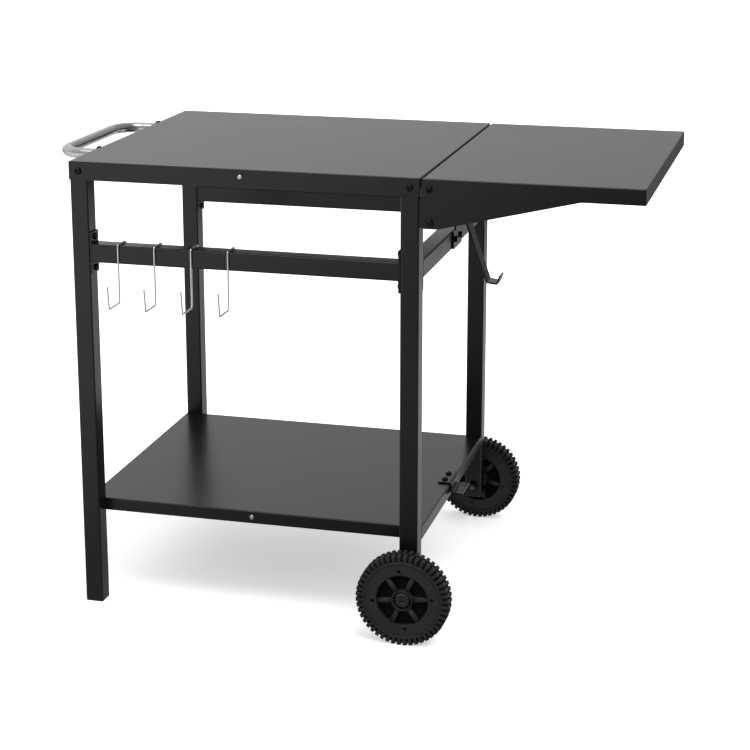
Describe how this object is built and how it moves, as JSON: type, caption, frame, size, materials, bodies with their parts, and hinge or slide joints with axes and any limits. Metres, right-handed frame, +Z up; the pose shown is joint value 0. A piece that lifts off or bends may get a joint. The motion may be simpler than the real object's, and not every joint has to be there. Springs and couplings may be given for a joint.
{
  "type": "grill cart",
  "caption": "Black steel grill cart with a flat main top, fold-down side table, lower shelf, push handle, lugged wheels, utensil hooks and a gas-bottle hook.",
  "frame": {"origin": "on the floor, under the middle of the cart's length and at its front-to-back mirror plane", "axes": "+X towards the side table and wheels, +Y towards the back, +Z up"},
  "size_m": [1, 0.6323, 0.753],
  "materials": {
    "black_coat": "satin black powder coat on folded sheet and square tube",
    "black_fastener": "black plated screws and nuts",
    "black_plastic": "moulded black plastic, fine matt grain",
    "tyre": "solid black tread, matt",
    "chrome": "polished chrome tube",
    "zinc": "bright zinc plate",
    "flange_black": "dark moulded cover ring"
  },
  "bodies": {
    "frame": {"main_top": "black_coat", "top_stiffener": "black_coat", "lower_shelf": "black_coat", "shelf_stiffener": "black_coat", "leg_front_left": "black_coat", "leg_back_left": "black_coat", "leg_front_right": "black_coat", "leg_back_right": "black_coat", "rail_front": "black_coat", "rail_back": "black_coat", "rail_side": "black_coat", "hinge_bracket_front": "black_coat", "hinge_bracket_back": "black_coat", "tank_hook": "black_coat", "tank_stop": "black_coat", "rail_bolts": "black_fastener", "corner_screws": "black_fastener", "shelf_bolts": "black_fastener", "bracket_bolts": "black_fastener", "axle_bolt_front": "black_fastener", "axle_bolt_back": "black_fastener", "axle_nut_front": "black_fastener", "axle_nut_back": "black_fastener", "tank_stop_bolts": "black_fastener", "tank_stop_nuts": "black_fastener", "tank_hook_bolts": "black_fastener", "foot_plug_front": "black_plastic", "foot_plug_back": "black_plastic", "end_plug_front": "black_plastic", "end_plug_back": "black_plastic", "axle_spacer_front": "black_plastic", "axle_spacer_back": "black_plastic", "handle_inserts": "black_plastic", "handle": "chrome", "rivet_nuts": "zinc", "stiffener_screws": "zinc", "stiffener_nuts": "zinc", "handle_screws": "zinc", "tank_hook_nuts": "zinc", "handle_flange_front": "flange_black", "handle_flange_back": "flange_black"},
    "side_table": {"side_table": "black_coat", "pivot_bolts": "black_fastener", "pivot_nuts": "black_fastener", "lock_screws": "black_fastener", "lock_nuts": "black_fastener"},
    "front_wheel": {"wheel_front": "black_plastic", "tyre_front": "tyre"},
    "back_wheel": {"wheel_back": "black_plastic", "tyre_back": "tyre"},
    "hook_1": {"wire_hook_1": "zinc"},
    "hook_2": {"wire_hook_2": "zinc"},
    "hook_3": {"wire_hook_3": "zinc"},
    "hook_4": {"wire_hook_4": "zinc"}
  },
  "joints": [
    {"name": "side_table_fold", "type": "hinge", "parent": "frame", "child": "side_table", "pos_m": [0.171, 0, 0.6805], "axis": [0, 1, 0], "range_deg": [0, 90]},
    {"name": "front_wheel_spin", "type": "hinge", "parent": "frame", "child": "front_wheel", "pos_m": [0.1405, -0.2965, 0.076], "axis": [0, 1, 0], "continuous": true},
    {"name": "back_wheel_spin", "type": "hinge", "parent": "frame", "child": "back_wheel", "pos_m": [0.1405, 0.2965, 0.076], "axis": [0, 1, 0], "continuous": true},
    {"name": "hook_1_slide", "type": "slide", "parent": "frame", "child": "hook_1", "axis": [1, 0, 0], "range_m": [-0.035, 0.025]},
    {"name": "hook_2_slide", "type": "slide", "parent": "frame", "child": "hook_2", "axis": [1, 0, 0], "range_m": [-0.025, 0.025]},
    {"name": "hook_3_slide", "type": "slide", "parent": "frame", "child": "hook_3", "axis": [1, 0, 0], "range_m": [-0.025, 0.025]},
    {"name": "hook_4_slide", "type": "slide", "parent": "frame", "child": "hook_4", "axis": [1, 0, 0], "range_m": [-0.025, 0.25]}
  ]
}
